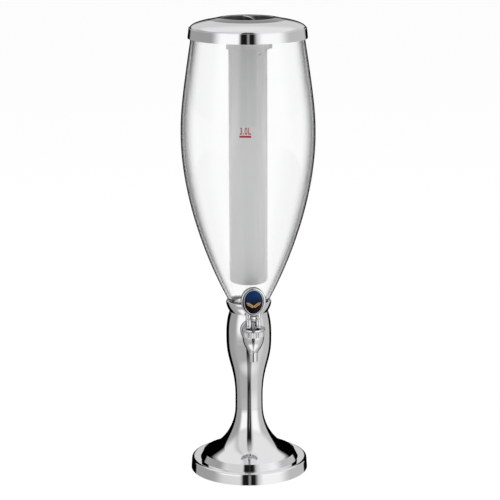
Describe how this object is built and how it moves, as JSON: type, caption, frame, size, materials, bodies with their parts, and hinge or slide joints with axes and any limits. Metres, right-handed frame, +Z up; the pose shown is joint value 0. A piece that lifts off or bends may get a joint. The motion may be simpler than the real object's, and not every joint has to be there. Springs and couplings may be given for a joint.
{
  "type": "beer tower dispenser",
  "caption": "Table-top drink tower: clear tulip-shaped container on a chrome pedestal, with a lever tap, a hanging ice tube and a lift-off lid with a finger bar.",
  "frame": {"origin": "on the table, under the middle of the base", "axes": "+Z up along the tower's axis, -Y towards the drinker, where the tap is, +X to the right as the drinker sees it"},
  "size_m": [0.1796, 0.1796, 0.6211],
  "materials": {
    "chrome": "polished chrome plating on moulded plastic and brass",
    "clear": "clear moulded acrylic",
    "frosted": "frosted moulded acrylic",
    "silicone": "soft translucent silicone",
    "black_rubber": "matt",
    "steel": "bright turned steel",
    "spring_steel": "drawn wire",
    "iron": "as cast, painted black",
    "black_plastic": "finely textured",
    "white_plastic": "smooth moulded",
    "bezel": "smooth enamel",
    "badge": "deep blue to black under a clear dome"
  },
  "bodies": {
    "stand": {"base_disc": "chrome", "base_plate": "black_plastic", "base_weight": "iron", "rubber_pads": "black_rubber", "base_screws": "steel", "pedestal_foot": "chrome", "foot_screws": "steel", "joining_sleeve": "black_plastic", "pedestal_column": "chrome", "pedestal_collar": "chrome", "collar_screws": "steel", "container": "clear", "container_gasket": "silicone", "container_nut": "white_plastic", "outlet_block": "white_plastic", "spigot_o_ring": "silicone", "shank_washer": "silicone", "tap_escutcheon": "chrome", "tap_body": "chrome", "bonnet_gasket": "silicone", "tap_bonnet": "chrome"},
    "ice_tube": {"ice_tube": "frosted"},
    "lid": {"lid_cover": "chrome", "lid_grip": "chrome", "lid_liner": "white_plastic", "lid_seal": "silicone", "lid_screws": "steel", "tube_o_ring": "silicone"},
    "tap_stem": {"tap_stem": "steel", "tap_seat": "silicone", "tap_spring": "spring_steel"},
    "tap_lever": {"tap_lever": "chrome", "lever_pin": "steel", "tap_knob": "chrome", "knob_bezel": "bezel", "knob_badge": "badge", "knob_screw": "steel"}
  },
  "joints": [
    {"name": "ice_tube_lift", "type": "slide", "parent": "stand", "child": "ice_tube", "axis": [0, 0, 1], "range_m": [0, 0.345]},
    {"name": "lid_pull", "type": "slide", "parent": "ice_tube", "child": "lid", "axis": [0, 0, 1], "range_m": [0, 0.1]},
    {"name": "stem_lift", "type": "slide", "parent": "stand", "child": "tap_stem", "axis": [0, 0, 1], "range_m": [0, 0.00304], "stiffness_N_per_m": 900, "springref_m": -0.003, "deforming": ["tap_spring"]},
    {"name": "lever_tilt", "type": "hinge", "parent": "tap_stem", "child": "tap_lever", "pos_m": [0, -0.05224, 0.2183], "axis": [1, 0, 0], "range_deg": [0, 40]}
  ],
  "couplings": [
    {"joint": "lever_tilt", "follows": "stem_lift", "rad_per_m": 229.88}
  ]
}
